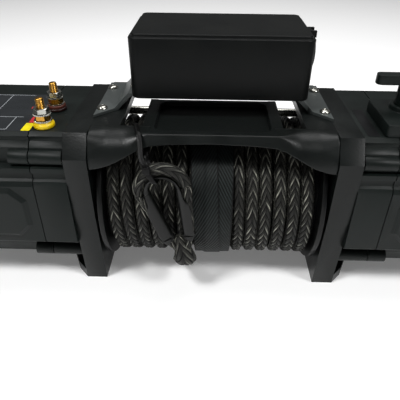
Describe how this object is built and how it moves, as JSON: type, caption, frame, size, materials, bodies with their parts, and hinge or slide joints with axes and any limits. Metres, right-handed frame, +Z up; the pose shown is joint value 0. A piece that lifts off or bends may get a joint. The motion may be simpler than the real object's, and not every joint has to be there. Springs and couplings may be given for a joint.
{
  "type": "electric recovery winch",
  "caption": "Electric recovery winch with a rope drum between two supports, motor and planetary gearbox at the ends, clutch lever, control box and foot bolt pattern.",
  "frame": {"origin": "centre of the foot bolt pattern on the mounting plane under the feet", "axes": "+X along the drum from the motor to the gearbox, +Y to the back, +Z up from the mounting plane"},
  "size_m": [0.56, 0.1771, 0.256],
  "materials": {
    "cast_aluminium_black": "satin black powder coat",
    "housing_black": "fine textured black",
    "black_steel": "black",
    "zinc_steel": "zinc plated",
    "plain_steel": "turned",
    "gear_steel": "hardened",
    "gasket": "matt",
    "copper_wire": "enamelled",
    "copper": "turned",
    "brush_board": "laminate",
    "carbon": "pressed carbon",
    "brass": "turned",
    "bronze": "sintered",
    "lining": "friction lining",
    "yellow_plastic": "moulded",
    "red_plastic": "moulded",
    "box_plastic": "moulded",
    "contactor_plastic": "moulded",
    "cap_rubber": "matt",
    "rope": "braided synthetic fibre",
    "webbing": "twill webbing",
    "thimble_plastic": "moulded",
    "nylon": "moulded"
  },
  "bodies": {
    "frame": {"motor_support": "cast_aluminium_black", "gear_support": "cast_aluminium_black", "top_bridge": "cast_aluminium_black", "bridge_screws": "black_steel", "tie_rods": "zinc_steel", "foot_nuts": "zinc_steel", "motor_ring": "housing_black", "motor_cover": "housing_black", "gear_ring_case": "housing_black", "gear_cover": "housing_black", "case_gaskets": "gasket", "case_bolts": "zinc_steel", "field_case": "plain_steel", "field_poles": "copper_wire", "brush_plate": "brush_board", "brushes": "carbon", "motor_bearings": "plain_steel", "terminal_studs": "brass", "terminal_nuts": "zinc_steel", "terminal_washers": "brass", "front_insulator": "yellow_plastic", "rear_insulator": "red_plastic", "drum_bushes": "bronze", "ring_gear": "plain_steel", "clutch_base": "housing_black", "box_base": "box_plastic", "box_lid": "box_plastic", "box_brackets": "black_steel", "bracket_screws": "black_steel", "contactor": "contactor_plastic", "socket": "box_plastic", "rope_eye": "rope", "thimble": "thimble_plastic", "cable_tie": "nylon"},
    "drum": {"drum_tube": "plain_steel", "drum_flanges": "black_steel", "brake_lining": "lining", "carrier_3": "gear_steel", "rope_core": "rope", "rope_wraps": "rope", "wear_strap": "webbing"},
    "second_stage": {"carrier_2": "gear_steel"},
    "first_stage": {"carrier_1": "gear_steel"},
    "rotor": {"armature_shaft": "plain_steel", "armature_core": "plain_steel", "commutator": "copper", "drive_shaft": "plain_steel", "brake_hub": "plain_steel"},
    "handle": {"clutch_handle": "housing_black"},
    "pin": {"clutch_pin": "zinc_steel"},
    "cap": {"socket_cap": "cap_rubber"},
    "wheel_1a": {"planet_1a": "gear_steel"},
    "wheel_1b": {"planet_1b": "gear_steel"},
    "wheel_1c": {"planet_1c": "gear_steel"},
    "wheel_2a": {"planet_2a": "gear_steel"},
    "wheel_2b": {"planet_2b": "gear_steel"},
    "wheel_2c": {"planet_2c": "gear_steel"},
    "wheel_3a": {"planet_3a": "gear_steel"},
    "wheel_3b": {"planet_3b": "gear_steel"},
    "wheel_3c": {"planet_3c": "gear_steel"}
  },
  "joints": [
    {"name": "drum_turn", "type": "hinge", "parent": "frame", "child": "drum", "pos_m": [0, 0, 0.088], "axis": [1, 0, 0], "continuous": true},
    {"name": "second_stage_turn", "type": "hinge", "parent": "frame", "child": "second_stage", "pos_m": [0, 0, 0.088], "axis": [1, 0, 0], "continuous": true},
    {"name": "first_stage_turn", "type": "hinge", "parent": "frame", "child": "first_stage", "pos_m": [0, 0, 0.088], "axis": [1, 0, 0], "continuous": true},
    {"name": "rotor_turn", "type": "hinge", "parent": "frame", "child": "rotor", "pos_m": [0, 0, 0.088], "axis": [1, 0, 0], "continuous": true},
    {"name": "wheel_3a_turn", "type": "hinge", "parent": "drum", "child": "wheel_3a", "pos_m": [0, 0.027, 0.088], "axis": [1, 0, 0], "continuous": true},
    {"name": "wheel_3b_turn", "type": "hinge", "parent": "drum", "child": "wheel_3b", "pos_m": [0, -0.0135, 0.11138], "axis": [1, 0, 0], "continuous": true},
    {"name": "wheel_3c_turn", "type": "hinge", "parent": "drum", "child": "wheel_3c", "pos_m": [0, -0.0135, 0.06462], "axis": [1, 0, 0], "continuous": true},
    {"name": "wheel_2a_turn", "type": "hinge", "parent": "second_stage", "child": "wheel_2a", "pos_m": [0, 0.027, 0.088], "axis": [1, 0, 0], "continuous": true},
    {"name": "wheel_2b_turn", "type": "hinge", "parent": "second_stage", "child": "wheel_2b", "pos_m": [0, -0.0135, 0.11138], "axis": [1, 0, 0], "continuous": true},
    {"name": "wheel_2c_turn", "type": "hinge", "parent": "second_stage", "child": "wheel_2c", "pos_m": [0, -0.0135, 0.06462], "axis": [1, 0, 0], "continuous": true},
    {"name": "wheel_1a_turn", "type": "hinge", "parent": "first_stage", "child": "wheel_1a", "pos_m": [0, 0.027, 0.088], "axis": [1, 0, 0], "continuous": true},
    {"name": "wheel_1b_turn", "type": "hinge", "parent": "first_stage", "child": "wheel_1b", "pos_m": [0, -0.0135, 0.11138], "axis": [1, 0, 0], "continuous": true},
    {"name": "wheel_1c_turn", "type": "hinge", "parent": "first_stage", "child": "wheel_1c", "pos_m": [0, -0.0135, 0.06462], "axis": [1, 0, 0], "continuous": true},
    {"name": "clutch_turn", "type": "hinge", "parent": "frame", "child": "handle", "pos_m": [0.186, -0.02, 0.2], "axis": [0, 0, 1], "range_deg": [0, 90]},
    {"name": "pin_lift", "type": "slide", "parent": "frame", "child": "pin", "axis": [0, 0, 1], "range_m": [0, 0.008]},
    {"name": "cap_swing", "type": "hinge", "parent": "frame", "child": "cap", "pos_m": [0.097, 0.027, 0.249], "axis": [0, -1, 0], "range_deg": [0, 120]}
  ],
  "couplings": [
    {"joint": "second_stage_turn", "follows": "drum_turn", "ratio": 6},
    {"joint": "first_stage_turn", "follows": "drum_turn", "ratio": 36},
    {"joint": "rotor_turn", "follows": "drum_turn", "ratio": 216},
    {"joint": "wheel_3a_turn", "follows": "drum_turn", "ratio": -2.5},
    {"joint": "wheel_3b_turn", "follows": "drum_turn", "ratio": -2.5},
    {"joint": "wheel_3c_turn", "follows": "drum_turn", "ratio": -2.5},
    {"joint": "wheel_2a_turn", "follows": "drum_turn", "ratio": -15},
    {"joint": "wheel_2b_turn", "follows": "drum_turn", "ratio": -15},
    {"joint": "wheel_2c_turn", "follows": "drum_turn", "ratio": -15},
    {"joint": "wheel_1a_turn", "follows": "drum_turn", "ratio": -90},
    {"joint": "wheel_1b_turn", "follows": "drum_turn", "ratio": -90},
    {"joint": "wheel_1c_turn", "follows": "drum_turn", "ratio": -90},
    {"joint": "pin_lift", "follows": "clutch_turn", "m_per_rad": 0.005093}
  ]
}
